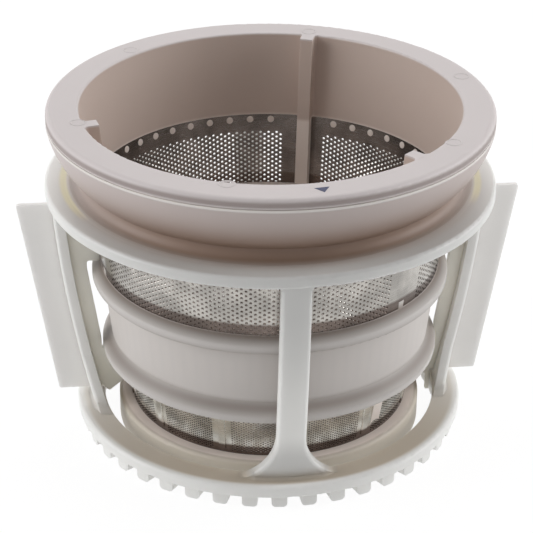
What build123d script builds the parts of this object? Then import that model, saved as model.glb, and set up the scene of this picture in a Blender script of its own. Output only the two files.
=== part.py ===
from build123d import *
import math
import os

# Perforated strainer of a slow juicer, standing in its turning wiper cage.
# Millimetres, +Z up. The origin lies on the axis, at the height of the strainer's foot.
# Angles are measured about +Z from the front, which is -Y.

# Strainer, overall
strainer_height = 81.4
rim_outer_radius = 52.0
rim_width = 7.6
wall_taper = 0.117

# Rim
rim_round = 1.25
rim_inner_round = 0.5
groove_drop = 2.35
groove_depth = 0.35
groove_width = 0.3
lip_height = 0.75

# Collar that the cage's hub turns on
collar_step = 7.2
collar_taper_drop = 15.2
collar_bow = 1.3
collar_drop = 24.0

# Steel sleeves
steel_thickness = 0.5
steel_embed = 2.6
upper_steel_drop = 21.0
lower_steel_taper = 0.13
lower_steel_step = 10.7

# Band between the sleeves, a spool with two rounded flanges
upper_flange_drop = 41.0
upper_flange_inset = 1.8
lower_flange_z = 21.1
lower_flange_reach = 6.9
flange_edge = 2.0
flange_round = 0.8
flange_slope = 1.9
band_wall = 2.7
band_recess = 2.6

# Bottom ring, floor and shaft bore
foot_ring_reach = 3.2
foot_ring_height = 6.4
foot_ring_wall = 4.4
foot_ring_round = 1.0
floor_thickness = 2.0
floor_lift = 2.4
shaft_bore_radius = 10.0
shaft_hub_wall = 2.4
shaft_hub_height = 9.0
pulp_slot_radius = 24.0
pulp_slot_width = 8.0
pulp_slot_arc = 46.0
pulp_slot_angle = 180.0

# Guide ribs down the inside
rib_count = 3
rib_width = 3.1
rib_depth = 3.4
rib_flare = 0.9
rib_angle = 41.1
rib_sink = 0.3

# Openings of the steel sleeves, drawn coarse
window_pitch_count = 13
window_rows = 3
window_size = 2.9
window_margin = 1.6
plain_zone_arc = 15.0

# Clearances
running_gap = 0.3
wiper_gap = 0.35

# Wiper cage
cage_ring_overhang = 0.9
cage_ring_drop = 18.1
cage_ring_height = 2.9
cage_ring_round = 0.8
hub_rise = 0.8
hub_width = 3.2
cage_foot_bore_gap = 3.6
cage_foot_ring_width = 6.6
cage_foot_ring_top = 6.2
cage_foot_ring_height = 2.8
cage_foot_ring_round = 0.9
post_count = 4
post_width = 6.7
post_thickness = 2.6
post_bow = 1.35
post_top_inset = 3.9
post_corner = 1.2
post_round = 0.8
flare_radius = 14.0
flare_height = 12.2
tooth_count = 42
tooth_width = 3.6
tooth_height = 3.1
tooth_round = 1.0
tooth_inset = 1.1
tooth_length = 5.0
tooth_phase = -3.3

# Wiper blades
blade_thickness = 1.2
blade_top_drop = 23.5
blade_bottom_height = 8.0
blade_top_reach = 6.9
blade_bottom_reach = 4.5
blade_notch_gap = 1.2
blade_toe_drop = 1.4
blade_heel_rise = 2.6
blade_corner = 0.6
tail_width = 0.9
tail_length = 4.4

# Radii worked out from the sizes above
bore_top_radius = rim_outer_radius - rim_width
collar_radius = rim_outer_radius - collar_step
lower_steel_foot_radius = bore_top_radius - lower_steel_step
upper_flange_radius = bore_top_radius - upper_flange_inset
lower_flange_radius = lower_steel_foot_radius + lower_flange_reach
foot_ring_radius = lower_steel_foot_radius + foot_ring_reach
cage_ring_radius = rim_outer_radius + cage_ring_overhang
cage_foot_bore_radius = foot_ring_radius + cage_foot_bore_gap
cage_foot_ring_radius = cage_foot_bore_radius + cage_foot_ring_width
post_top_inner_radius = cage_ring_radius - post_top_inset
blade_tip_top_radius = cage_ring_radius + blade_top_reach
blade_tip_bottom_radius = cage_foot_ring_radius + blade_bottom_reach
tail_outer_radius = cage_foot_bore_radius - wiper_gap / 2
blade_toe_radius = tail_outer_radius - tail_width

# Heights worked out from the sizes above
groove_z = strainer_height - groove_drop
lip_z = groove_z - groove_width - lip_height
collar_neck_z = strainer_height - collar_taper_drop
collar_foot_z = strainer_height - collar_drop
upper_steel_top_z = strainer_height - upper_steel_drop
upper_flange_z = strainer_height - upper_flange_drop
band_top_z = upper_flange_z + flange_slope
band_wall_top_z = upper_flange_z - flange_edge
band_wall_foot_z = lower_flange_z + band_recess
lower_flange_foot_z = lower_flange_z - flange_edge
upper_steel_foot_z = band_top_z - steel_embed
lower_steel_top_z = lower_flange_foot_z + steel_embed
lower_steel_foot_z = foot_ring_height - steel_embed
cage_ring_z = strainer_height - cage_ring_drop
cage_ring_foot_z = cage_ring_z - cage_ring_height
cage_foot_ring_foot_z = cage_foot_ring_top - cage_foot_ring_height
tooth_foot_z = cage_foot_ring_foot_z - tooth_height
post_top_z = cage_ring_z - cage_ring_height / 2
post_foot_z = cage_foot_ring_top - cage_foot_ring_height / 2
blade_top_z = strainer_height - blade_top_drop


def upper_bore(z):
    """Radius of the strainer's bore from the rim down to the band."""
    return bore_top_radius - wall_taper * (strainer_height - z)


def upper_steel_outer(z):
    """Outer radius of the upper sleeve."""
    return upper_bore(z) + steel_thickness


def lower_steel_outer(z):
    """Outer radius of the lower sleeve."""
    return lower_steel_foot_radius + lower_steel_taper * (z - foot_ring_height)


def lower_bore(z):
    """Inner radius of the lower sleeve."""
    return lower_steel_outer(z) - steel_thickness


def band_outer(z):
    """Outer radius of the band's wall between its flanges."""
    return lower_steel_outer(lower_flange_z) + band_wall + wall_taper * (z - band_wall_foot_z)


def band_bore(z):
    """Inner radius of the band, from the ledge under the upper sleeve to the lower sleeve."""
    share = (z - lower_steel_top_z) / (upper_steel_foot_z - lower_steel_top_z)
    top_radius = band_outer(upper_steel_foot_z) - band_wall
    return lower_bore(lower_steel_top_z) + share * (top_radius - lower_bore(lower_steel_top_z))


def post_inner(z):
    """Inner radius of a post without its bow, from the top ring to the bottom ring's bore."""
    share = (cage_ring_foot_z - z) / (cage_ring_foot_z - post_foot_z)
    return post_top_inner_radius + share * (cage_foot_bore_radius - post_top_inner_radius)


def direction(angle):
    """Unit vector at an angle from the front."""
    return Vector(math.sin(math.radians(angle)), -math.cos(math.radians(angle)), 0)


def radial_plane(angle):
    """Plane through the axis whose x is the radius at this angle and whose y is the height."""
    return Plane(origin=(0, 0, 0), x_dir=direction(angle), z_dir=direction(angle - 90))


def facing_plane(angle):
    """Plane through the axis whose x runs sideways at this angle and whose y is the height."""
    return Plane(origin=(0, 0, 0), x_dir=direction(angle + 90), z_dir=direction(angle))


def turned(points, radii=0.0):
    """Solid turned about the axis from a closed outline of (radius, height) points."""
    radius_list = [radii] * len(points) if isinstance(radii, float) else radii
    outline = FilletPolyline(*points, radius=radius_list, close=True)
    return revolve(radial_plane(90) * make_face(outline), axis=Axis.Z)


def head_profile():
    """Rim with its rounded edge, the groove and lip below it, and the collar bowed inwards."""
    inner_foot = upper_bore(upper_steel_top_z)
    skirt_inner = upper_steel_outer(collar_foot_z)
    bow_radius = (rim_outer_radius + collar_radius) / 2 + collar_bow
    bow_z = (lip_z + collar_neck_z) / 2
    groove_radius = rim_outer_radius - groove_depth
    points = [
        (inner_foot, upper_steel_top_z),
        (bore_top_radius, strainer_height),
        (rim_outer_radius, strainer_height),
        (rim_outer_radius, groove_z),
        (groove_radius, groove_z),
        (groove_radius, groove_z - groove_width),
        (rim_outer_radius, groove_z - groove_width),
        (rim_outer_radius, lip_z),
    ]
    upper = FilletPolyline(*points, radius=[rim_inner_round, rim_round, 0, 0, 0, 0])
    bowed = ThreePointArc(points[-1], (bow_radius, bow_z), (collar_radius, collar_neck_z))
    lower = Polyline(
        (collar_radius, collar_neck_z),
        (collar_radius, collar_foot_z),
        (skirt_inner, collar_foot_z),
        (upper_steel_outer(upper_steel_top_z), upper_steel_top_z),
        (inner_foot, upper_steel_top_z),
    )
    return make_face([*upper.edges(), bowed, *lower.edges()])


def strainer_head():
    """Rim and collar, turned in one piece."""
    return revolve(radial_plane(90) * head_profile(), axis=Axis.Z)


def strainer_band():
    """Spool between the two sleeves: two sloping flanges and a recessed wall."""
    band_inner_top = band_bore(upper_steel_foot_z)
    points = [
        (upper_bore(band_top_z), band_top_z),
        (upper_steel_outer(band_top_z), band_top_z),
        (upper_flange_radius, upper_flange_z),
        (upper_flange_radius, band_wall_top_z),
        (band_outer(band_wall_top_z), band_wall_top_z),
        (band_outer(band_wall_foot_z), band_wall_foot_z),
        (lower_flange_radius, lower_flange_z),
        (lower_flange_radius, lower_flange_foot_z),
        (lower_bore(lower_flange_foot_z), lower_flange_foot_z),
        (lower_bore(lower_steel_top_z), lower_steel_top_z),
        (band_inner_top, upper_steel_foot_z),
    ]
    radii = [0, 0, flange_round, flange_round, 0, 0, flange_round, flange_round, 0, 0, 0]
    return turned(points, radii)


def strainer_foot():
    """Bottom ring with its floor and the hub round the shaft bore."""
    ring_inner = foot_ring_radius - foot_ring_wall
    floor_top = floor_lift + floor_thickness
    ring = turned(
        [
            (ring_inner, 0),
            (foot_ring_radius, 0),
            (foot_ring_radius, foot_ring_height),
            (lower_bore(foot_ring_height), foot_ring_height),
            (ring_inner, foot_ring_height - foot_ring_round),
        ],
        [0, 0, foot_ring_round, 0, 0],
    )
    floor = turned(
        [
            (shaft_bore_radius, floor_lift),
            (ring_inner + foot_ring_round, floor_lift),
            (ring_inner + foot_ring_round, floor_top),
            (shaft_bore_radius, floor_top),
        ]
    )
    hub_radius = shaft_bore_radius + shaft_hub_wall
    hub = turned(
        [
            (shaft_bore_radius, 0),
            (hub_radius, 0),
            (hub_radius, shaft_hub_height),
            (shaft_bore_radius, shaft_hub_height),
        ],
        [0, 0, foot_ring_round, foot_ring_round / 2],
    )
    return ring + floor + hub - pulp_slot()


def pulp_slot():
    """Curved slot through the floor for the spent pulp."""
    path = CenterArc((0, 0), pulp_slot_radius, -pulp_slot_arc / 2, pulp_slot_arc)
    base = Plane(origin=(0, 0, floor_lift), x_dir=direction(pulp_slot_angle), z_dir=(0, 0, 1))
    return extrude(base * SlotArc(path, pulp_slot_width), floor_thickness)


def guide_rib(angle):
    """Rib down the bore, flared where it leaves the wall, that follows the wall's taper."""
    tip_z = [strainer_height, upper_steel_foot_z, foot_ring_height, floor_lift]
    wall = [upper_bore(tip_z[0]), upper_bore(tip_z[1]), lower_bore(tip_z[2]), lower_bore(tip_z[3])]
    points = [(radius - rib_depth, z) for radius, z in zip(wall, tip_z)]
    points += [(radius + rib_sink, z) for radius, z in zip(reversed(wall), reversed(tip_z))]
    side = make_face(Polyline(*points, close=True))
    web = extrude(radial_plane(angle) * side, rib_width / 2, both=True)
    return web + rib_root(angle)


def rib_root(angle):
    """Hollow rounds between a rib and the wall of the rim and collar."""
    inner = bore_top_radius - rib_flare
    reach = rib_width / 2 + rib_flare
    block = Pos(inner, 0) * Rectangle(rib_flare + rib_sink, 2 * reach, align=(Align.MIN, Align.CENTER))
    outline = block - [Pos(inner, side * reach) * Circle(rib_flare) for side in (-1, 1)]
    height = strainer_height - upper_steel_top_z
    lean = direction(angle) * -wall_taper + Vector(0, 0, -1)
    base = Plane(origin=(0, 0, strainer_height), x_dir=direction(angle), z_dir=(0, 0, 1))
    return extrude(base * outline, height * lean.length, dir=lean)


def steel_sleeve(outer, top_z, foot_z):
    """Plain tapered sleeve of sheet steel."""
    return turned([
        (outer(top_z) - steel_thickness, top_z),
        (outer(top_z), top_z),
        (outer(foot_z), foot_z),
        (outer(foot_z) - steel_thickness, foot_z),
    ])


def window_angles(row):
    """Angles of one row's openings, between the plain zones that the ribs cover."""
    sector = 360 / rib_count
    step = (sector - plain_zone_arc) / window_pitch_count
    first = rib_angle + plain_zone_arc / 2 + step / 4 + (row % 2) * step / 2
    return [first + k * sector + i * step for k in range(rib_count) for i in range(window_pitch_count)]


def pierced(sleeve, outer, top_z, foot_z):
    """Cuts the staggered rows of six-sided openings between two heights of a sleeve."""
    zone = top_z - foot_z - 2 * window_margin
    pitch = zone / window_rows
    cutters = []
    for row in range(window_rows):
        z = foot_z + window_margin + pitch * (row + 0.5)
        for angle in window_angles(row):
            inside = facing_plane(angle).offset(outer(z) - 2 * steel_thickness)
            hexagon = Pos(0, z) * RegularPolygon(window_size / 2, 6, major_radius=False)
            cutters.append(extrude(inside * hexagon, 3 * steel_thickness))
    return sleeve - cutters


def upper_sleeve():
    """Coarse steel sleeve between the collar and the band."""
    return steel_sleeve(upper_steel_outer, upper_steel_top_z, upper_steel_foot_z)


def lower_sleeve():
    """Fine steel sleeve between the band and the bottom ring."""
    return steel_sleeve(lower_steel_outer, lower_steel_top_z, lower_steel_foot_z)


def strainer_frame():
    """The moulded body of the strainer, cut where the steel sleeves are set into it."""
    body = strainer_head() + strainer_band() + strainer_foot()
    for k in range(rib_count):
        body += guide_rib(rib_angle + k * 360 / rib_count)
    return body - upper_sleeve() - lower_sleeve()


def cage_top_ring():
    """Flat ring with a low hub whose bore turns on the strainer's collar."""
    bore = collar_radius + running_gap
    return turned(
        [
            (bore, cage_ring_foot_z),
            (cage_ring_radius, cage_ring_foot_z),
            (cage_ring_radius, cage_ring_z),
            (bore + hub_width, cage_ring_z),
            (bore + hub_width / 3, cage_ring_z + hub_rise / 3),
            (bore, cage_ring_z + hub_rise),
        ],
        [0, cage_ring_round, cage_ring_round, 0, 0, 0],
    )


def cage_foot_ring():
    """Flat ring that carries the teeth."""
    return turned(
        [
            (cage_foot_bore_radius, cage_foot_ring_foot_z),
            (cage_foot_ring_radius, cage_foot_ring_foot_z),
            (cage_foot_ring_radius, cage_foot_ring_top),
            (cage_foot_bore_radius, cage_foot_ring_top),
        ],
        [0, cage_foot_ring_round / 2, cage_foot_ring_round, 0],
    )


def post_shell():
    """Thin tapered shell, bowed outwards, that every post is cut from."""
    middle_z = (post_top_z + post_foot_z) / 2
    inner_top = (post_inner(post_top_z), post_top_z)
    inner_middle = (post_inner(middle_z) + post_bow, middle_z)
    inner_foot = (post_inner(post_foot_z), post_foot_z)
    inner = ThreePointArc(inner_top, inner_middle, inner_foot)
    outer = Pos(post_thickness, 0) * inner
    profile = make_face([inner, outer, Line(inner @ 0, outer @ 0), Line(inner @ 1, outer @ 1)])
    return revolve(radial_plane(90) * profile, axis=Axis.Z)


def post_outline(side):
    """One side of a post's front view, from the top ring to its flared base."""
    half = post_width / 2
    flare_angle = math.degrees(math.asin(flare_height / flare_radius))
    stem = Line((side * half, cage_ring_z), (side * half, cage_foot_ring_top + flare_height))
    flare = JernArc(stem @ 1, (0, -1), flare_radius, side * flare_angle)
    foot = flare @ 1
    return [stem, flare, Line(foot, (foot.X, cage_foot_ring_foot_z))]


def post_silhouette():
    """Whole front view of a post as a face."""
    right = post_outline(1)
    left = post_outline(-1)
    top = Line(right[0] @ 0, left[0] @ 0)
    foot = Line(right[-1] @ 1, left[-1] @ 1)
    return make_face([*right, *left, top, foot])


def cage_post():
    """The front post: the shell inside the post's front view, rounded along its outer edges."""
    reach = cage_ring_radius + post_thickness
    shell = post_shell()
    post = shell & extrude(facing_plane(0) * post_silhouette(), reach)
    outer_face = post.faces().filter_by(GeomType.REVOLUTION).sort_by(Axis.Y)[0]
    sides = [edge for edge in outer_face.edges() if cage_foot_ring_top < (edge @ 0.5).Z < cage_ring_foot_z]
    return fillet(sides, post_round) + (shell & extrude(facing_plane(0) * post_shoulders(), reach))


def post_shoulders():
    """Front view of the hollow rounds under the top ring on both sides of a post."""
    reach = post_width / 2 + post_corner
    round_z = cage_ring_foot_z - post_corner
    block = Pos(0, round_z) * Rectangle(2 * reach, 2 * post_corner, align=(Align.CENTER, Align.MIN))
    return block - [Pos(side * reach, round_z) * Circle(post_corner) for side in (-1, 1)]


def crown_tooth(angle):
    """One tooth of the drive crown, pointing down, with rounded tip corners."""
    root_z = cage_foot_ring_foot_z + cage_foot_ring_round / 2
    half = tooth_width / 2
    outline = FilletPolyline(
        (-half, root_z),
        (-half, tooth_foot_z),
        (half, tooth_foot_z),
        (half, root_z),
        radius=[0, tooth_round, tooth_round, 0],
        close=True,
    )
    outer = cage_foot_ring_radius - tooth_inset
    plane = facing_plane(angle).offset(outer - tooth_length)
    return extrude(plane * make_face(outline), tooth_length)


def wiper_cage():
    """The turning cage, moulded in one piece, cut for its two blades."""
    post = cage_post()
    posts = [Rot(0, 0, k * 360 / post_count) * post for k in range(post_count)]
    teeth = [crown_tooth(tooth_phase + k * 360 / tooth_count) for k in range(tooth_count)]
    cage = cage_top_ring() + cage_foot_ring() + posts + teeth
    return cage - [blade_sheet(90), blade_sheet(-90)]


def blade_outline():
    """Edge of a blade in its own plane, stepped to follow the strainer."""
    skirt_z = collar_foot_z - running_gap
    notch_top_z = band_top_z + wiper_gap
    notch_edge = upper_flange_radius + blade_notch_gap
    foot_edge = lower_flange_radius + wiper_gap
    foot_notch_z = lower_flange_foot_z - wiper_gap
    collar_edge = collar_radius + running_gap
    toe_z = blade_bottom_height - blade_toe_drop
    heel_z = blade_bottom_height + blade_heel_rise
    points = [
        (collar_edge, blade_top_z),
        (blade_tip_top_radius, blade_top_z),
        (blade_tip_bottom_radius, blade_bottom_height),
        (blade_toe_radius + blade_toe_drop, blade_bottom_height),
        (blade_toe_radius, toe_z),
        (lower_steel_outer(heel_z) + wiper_gap, heel_z),
        (lower_steel_outer(foot_notch_z) + wiper_gap, foot_notch_z),
        (foot_edge, foot_notch_z),
        (foot_edge, lower_flange_z),
        (notch_edge, upper_flange_z),
        (notch_edge, notch_top_z),
        (upper_steel_outer(notch_top_z) + wiper_gap, notch_top_z),
        (upper_steel_outer(skirt_z) + wiper_gap, skirt_z),
        (collar_edge, skirt_z),
    ]
    corner = blade_corner
    radii = [0, corner, corner, 0, corner / 2, 0, 0, 0, 0, 0, corner, corner / 2, 0, 0]
    return make_face(FilletPolyline(*points, radius=radii, close=True))


def blade_sheet(angle):
    """Flat silicone sheet that runs through a post."""
    return extrude(radial_plane(angle) * blade_outline(), blade_thickness / 2, both=True)


def tailed_blade(angle):
    """The blade whose toe hangs on as a narrow tail inside the bottom ring."""
    foot_z = blade_bottom_height - blade_toe_drop - tail_length
    tail = make_face(Polyline(
        (tail_outer_radius, blade_bottom_height),
        (blade_toe_radius, blade_bottom_height),
        (blade_toe_radius, foot_z),
        (tail_outer_radius, foot_z),
        close=True,
    ))
    strip = extrude(radial_plane(angle) * tail, blade_thickness / 2, both=True)
    return blade_sheet(angle) + strip


def save(node, shape):
    """Writes one node as a STEP file."""
    export_step(shape, f"parts/{node}.step")


def main():
    os.makedirs("parts", exist_ok=True)
    save("strainer_frame", strainer_frame())
    save("upper_screen", pierced(upper_sleeve(), upper_steel_outer, collar_foot_z, band_top_z))
    save("lower_screen", pierced(lower_sleeve(), lower_steel_outer, lower_flange_foot_z, foot_ring_height))
    save("wiper_cage", wiper_cage())
    save("wiper_blade_left", blade_sheet(-90))
    save("wiper_blade_right", tailed_blade(90))


main()
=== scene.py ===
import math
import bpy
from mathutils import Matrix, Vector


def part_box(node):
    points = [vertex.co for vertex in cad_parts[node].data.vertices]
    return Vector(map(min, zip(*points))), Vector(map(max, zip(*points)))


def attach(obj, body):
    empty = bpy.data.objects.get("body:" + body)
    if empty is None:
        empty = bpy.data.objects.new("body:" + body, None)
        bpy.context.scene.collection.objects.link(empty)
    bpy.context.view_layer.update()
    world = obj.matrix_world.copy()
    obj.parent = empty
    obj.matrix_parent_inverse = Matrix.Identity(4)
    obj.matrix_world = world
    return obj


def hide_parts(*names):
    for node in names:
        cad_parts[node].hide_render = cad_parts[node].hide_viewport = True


bl_info = {
    "name": "Juicer mesh screen",
    "version": (1, 0, 0),
    "blender": (4, 5, 0),
    "location": "View3D > Sidebar > Juicer",
    "description": "Perforated steel, moulded details and finishes of a juicer strainer in its wiper cage",
    "category": "Object",
}

import bmesh
import bpy
from bpy.props import FloatProperty, FloatVectorProperty, IntProperty, PointerProperty
from mathutils import Matrix, Vector

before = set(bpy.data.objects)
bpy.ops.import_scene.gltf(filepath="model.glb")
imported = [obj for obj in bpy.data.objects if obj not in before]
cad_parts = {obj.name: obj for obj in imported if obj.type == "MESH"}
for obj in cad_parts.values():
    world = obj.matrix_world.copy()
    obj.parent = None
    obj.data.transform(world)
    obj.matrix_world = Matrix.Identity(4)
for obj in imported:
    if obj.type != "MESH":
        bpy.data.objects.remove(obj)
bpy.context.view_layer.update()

# Angles are measured about +Z from the front, which is -Y. Lengths are in metres.
FULL_TURN = 2 * math.pi
RIB_ANGLES = (math.radians(41.1), math.radians(161.1), math.radians(281.1))
WELD_DISTANCE = 2e-6
CHAMFER_SHARE = 1 / 8
# Degrees by which an edge may turn and still be smoothed, and the same on a round in few steps.
FOLD_LIMIT = 30.0
ROUND_LIMIT = 50.0


def fill_settings(layout, settings):
    """Shows every setting of a group in the panel."""
    for name in settings.__annotations__:
        layout.prop(settings, name)


def length(name, description, default):
    """A length setting in metres."""
    return FloatProperty(
        name=name, description=description, default=default, min=0.0, unit="LENGTH", precision=5
    )


def whole(name, description, default, least=1):
    """A setting that is a whole number."""
    return IntProperty(name=name, description=description, default=default, min=least)


def angle(name, description, degrees):
    """An angle setting."""
    return FloatProperty(name=name, description=description, default=math.radians(degrees), subtype="ANGLE")


def colour(name, description, default):
    """A colour setting."""
    return FloatVectorProperty(
        name=name, description=description, default=default, subtype="COLOR", size=3, min=0.0, max=1.0
    )


class UpperScreenSettings(bpy.types.PropertyGroup):
    """Sizes of the coarse steel sleeve."""

    thickness: length("Thickness", "Thickness of the steel", 0.0005)
    taper: FloatProperty(name="Taper", description="Growth of the radius with height", default=0.117)
    hole: length("Hole", "Diameter of a hole", 0.00066)
    pitch: length("Pitch", "Height between two holes of a column", 0.0012)
    rows: whole("Rows", "Holes in a column", 12)
    sectors: whole("Sectors", "Perforated fields round the sleeve", 3)
    pierced: whole("Pierced columns", "Columns of holes in a field", 75)
    plain: whole("Plain columns", "Width of a plain strip in columns", 10, 2)
    field_foot: length("Field foot", "Height of the perforation above the sleeve's foot", 0.0015)
    strip_lag: angle("Strip lag", "Angle of a plain strip's middle past its rib", 0.9)
    seam: length("Seam", "Width of the lapped seam down the inside", 0.0011)
    seam_rise: length("Seam rise", "Height of the seam above the steel", 0.00018)
    seam_foot: length("Seam foot", "Height of the seam above the sleeve's foot", 0.0026)
    seam_drop: length("Seam drop", "Depth of the seam's top below the sleeve's top edge", 0.0005)
    seam_angle: angle("Seam angle", "Angle of the seam from the front", 163.8)


class LowerScreenSettings(bpy.types.PropertyGroup):
    """Sizes of the fine steel sleeve."""

    thickness: length("Thickness", "Thickness of the steel", 0.0005)
    taper: FloatProperty(name="Taper", description="Growth of the radius with height", default=0.13)
    hole: length("Hole", "Diameter of a hole", 0.00048)
    pitch: length("Pitch", "Height between two holes of a column", 0.00068)
    rows: whole("Rows", "Holes in a column", 17)
    sectors: whole("Sectors", "Perforated fields round the sleeve", 12)
    pierced: whole("Pierced columns", "Columns of holes in a field", 24)
    plain: whole("Plain columns", "Width of a plain strip in columns", 8, 2)
    field_foot: length("Field foot", "Height of the perforation above the sleeve's foot", 0.0031)
    strip_angle: angle("Strip angle", "Angle of the first plain strip from the front", 5.0)
    bead_width: length("Bead width", "Width of the raised bead on a plain strip", 0.0022)
    bead_rise: length("Bead rise", "Height by which the bead stands out", 0.00025)
    bead_foot: length("Bead foot", "Height of the beads above the sleeve's foot", 0.0036)


class MouldingSettings(bpy.types.PropertyGroup):
    """Sizes of the small moulded details."""

    dot: length("Anchor dot", "Diameter of a dot of plastic in the sleeve's border", 0.0017)
    dot_drop: length("Dot drop", "Depth of the dots below the sleeve's top edge", 0.0013)
    dot_rise: length("Dot rise", "Height by which a dot or a peg stands out of the steel", 0.00012)
    dot_step: angle("Dot step", "Angle between two dots", 7.22)
    dots: whole("Dots", "Dots between two ribs", 14)
    peg_width: length("Peg width", "Width of a peg of plastic at the sleeve's foot", 0.0022)
    peg_height: length("Peg height", "Height of a peg above the band", 0.0019)
    fillet: length("Fillet", "Radius of the hollow round at a post's foot", 0.0012)
    fillet_steps: whole("Fillet steps", "Steps of a round", 8, 4)
    toe_reach: length("Toe reach", "Distance from a post's middle to the end of its foot", 0.0114)
    collar_fillet: length("Collar fillet", "Radius of the round from the collar out over the cage", 0.00245)
    mark: length("Ejector mark", "Diameter of an ejector mark on the rim", 0.0034)
    mark_rise: length("Mark rise", "Height of a mark's edge", 0.00012)


class FinishSettings(bpy.types.PropertyGroup):
    """Colours of the object, of the light and shade painted on it, and of the studio."""

    strainer: colour("Strainer", "Grey-white plastic of the strainer", (0.665, 0.61, 0.605))
    # Painted shade: a darker, browner copy of the plastic down the whole bore.
    strainer_inside: colour("Strainer inside", "The same plastic down the bore", (0.59, 0.485, 0.43))
    # Painted light: a lighter copy of the plastic low in the bore, on the ribs and dots beside the steel.
    strainer_deep: colour("Strainer deep", "The same plastic beside the steel", (0.86, 0.77, 0.71))
    # Painted shade low on the collar over its crease with the cage, heaviest at the front.
    collar_foot: colour("Collar foot", "The same plastic low on the collar", (0.285, 0.19, 0.14))
    # Painted shade in a thin band down the rim's outer side.
    rim_side: colour("Rim side", "The same plastic down the side of the rim", (0.28, 0.225, 0.21))
    # Painted highlight: a light line along the lip under the rim.
    lip: colour("Lip", "The same plastic on the lip under the rim", (0.80, 0.76, 0.72))
    band: colour("Band", "The same plastic below the upper sleeve", (0.575, 0.545, 0.525))
    # Painted light on the bottom ring's outer edge, and painted shade in its hollow beside the lower sleeve.
    painted_foot_light: colour("Foot ring", "The same plastic at the bottom ring", (0.80, 0.74, 0.64))
    painted_foot_shade: colour("Foot hollow", "The bottom ring beside the lower sleeve", (0.27, 0.21, 0.18))
    # Painted shade on the flanges and in the band's hollows.
    flange: colour("Flange", "The same plastic in the band's hollows", (0.23, 0.19, 0.165))
    cage: colour("Cage", "White plastic of the cage", (0.91, 0.905, 0.88))
    # Painted shade on the flat of the bottom ring, heaviest at the front.
    cage_flat: colour("Cage flat", "The same plastic on the flat of the bottom ring", (0.60, 0.525, 0.43))
    cage_shade: colour("Cage shade", "The same plastic high on the front post", (0.52, 0.52, 0.515))
    # Painted shade round the collar's foot and the cage's hub, brown at the front and lighter at the sides;
    # painted light where light shines through the hub.
    hub: colour("Hub", "The same plastic round the collar", (0.52, 0.44, 0.39))
    painted_hub_side: colour("Hub side", "The same plastic round the collar's sides", (0.76, 0.70, 0.65))
    hub_glow: colour("Hub glow", "The same plastic where light shines through the hub", (0.95, 0.90, 0.68))
    blade: colour("Blade", "Pale silicone outside the posts", (0.96, 0.90, 0.85))
    # Painted light: a yellow glow of light through the silicone inside the posts.
    painted_blade_glow: colour("Blade inside", "The same silicone inside the posts", (1.0, 0.94, 0.76))
    steel: colour("Steel", "Perforated steel", (0.465, 0.445, 0.415))
    # Painted shade and dark reflection on the steel down the bore.
    painted_steel_shade: colour("Steel inside", "The same steel down the bore", (0.265, 0.243, 0.23))
    # Painted light: a lighter copy of the steel on the lower sleeve's outside.
    painted_lower_steel_light: colour("Lower steel", "The outside of the lower sleeve", (0.71, 0.70, 0.66))
    # Painted shade and dark reflection at each sleeve's foot and inside the lower sleeve.
    steel_foot: colour("Steel foot", "The same steel at the foot of each sleeve", (0.16, 0.13, 0.115))
    ink: colour("Ink", "Printed triangle on the rim", (0.035, 0.04, 0.095))
    floor: colour("Floor", "Studio floor", (0.85, 0.85, 0.85))


class NodeBuilder:
    """Adds nodes to a tree. An input takes a value or an output. The method out gives a first output."""

    def __init__(self, tree):
        self.tree = tree

    def add(self, kind, inputs=None, **settings):
        node = self.tree.nodes.new(kind)
        for name, value in settings.items():
            setattr(node, name, value)
        for key, value in (inputs or {}).items():
            if isinstance(value, bpy.types.NodeSocket):
                self.tree.links.new(value, node.inputs[key])
            else:
                node.inputs[key].default_value = value
        return node

    def out(self, kind, inputs=None, **settings):
        return self.add(kind, inputs, **settings).outputs[0]

    def math(self, operation, first, second=0.0, third=0.0):
        return self.out("ShaderNodeMath", {0: first, 1: second, 2: third}, operation=operation)


def settings_of(context):
    """The four groups of settings, kept on the scene."""
    scene = context.scene
    return scene.juicer_upper, scene.juicer_lower, scene.juicer_moulding, scene.juicer_finish


def round_point(angle_value, radius, height):
    """Point at an angle, a radius and a height."""
    return Vector((radius * math.sin(angle_value), -radius * math.cos(angle_value), height))


def full_circle(count):
    """Evenly spaced angles all round."""
    return [FULL_TURN * i / count for i in range(count)]


def quarter_turn(steps):
    """Evenly spaced angles from nought to a right angle."""
    return [math.pi / 2 * i / steps for i in range(steps + 1)]


def bridge(bm, first, second):
    """Four-sided faces between two closed loops."""
    for i in range(len(first)):
        j = (i + 1) % len(first)
        bm.faces.new([first[i], first[j], second[j], second[i]])


def new_object(name, mesh):
    """Links a mesh as an object at the origin."""
    piece = bpy.data.objects.new(name, mesh)
    bpy.context.scene.collection.objects.link(piece)
    return piece


def object_from(name, bm):
    """Turns a bmesh into an object as it is."""
    mesh = bpy.data.meshes.new(name)
    bm.to_mesh(mesh)
    bm.free()
    return new_object(name, mesh)


def add_ring(bm, section, sides, centre=(0, 0, 0)):
    """A closed ring about an upright line. Its section is a list of radii and heights."""
    turns = full_circle(sides)
    loops = [
        [bm.verts.new(Vector(centre) + round_point(turn, radius, height)) for turn in turns]
        for radius, height in section
    ]
    for first, second in zip(loops, loops[1:] + loops[:1]):
        bridge(bm, first, second)


def smooth_flats(mesh, limit_degrees):
    """Smooths the curved surfaces and keeps the edges that turn by more than the limit."""
    bm = bmesh.new()
    bm.from_mesh(mesh)
    limit = math.radians(limit_degrees)
    for face in bm.faces:
        face.smooth = True
    for edge in bm.edges:
        edge.smooth = len(edge.link_faces) == 2 and edge.calc_face_angle(0.0) < limit
    bm.to_mesh(mesh)
    bm.free()


# Perforated sleeves, made flat and then wrapped


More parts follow.
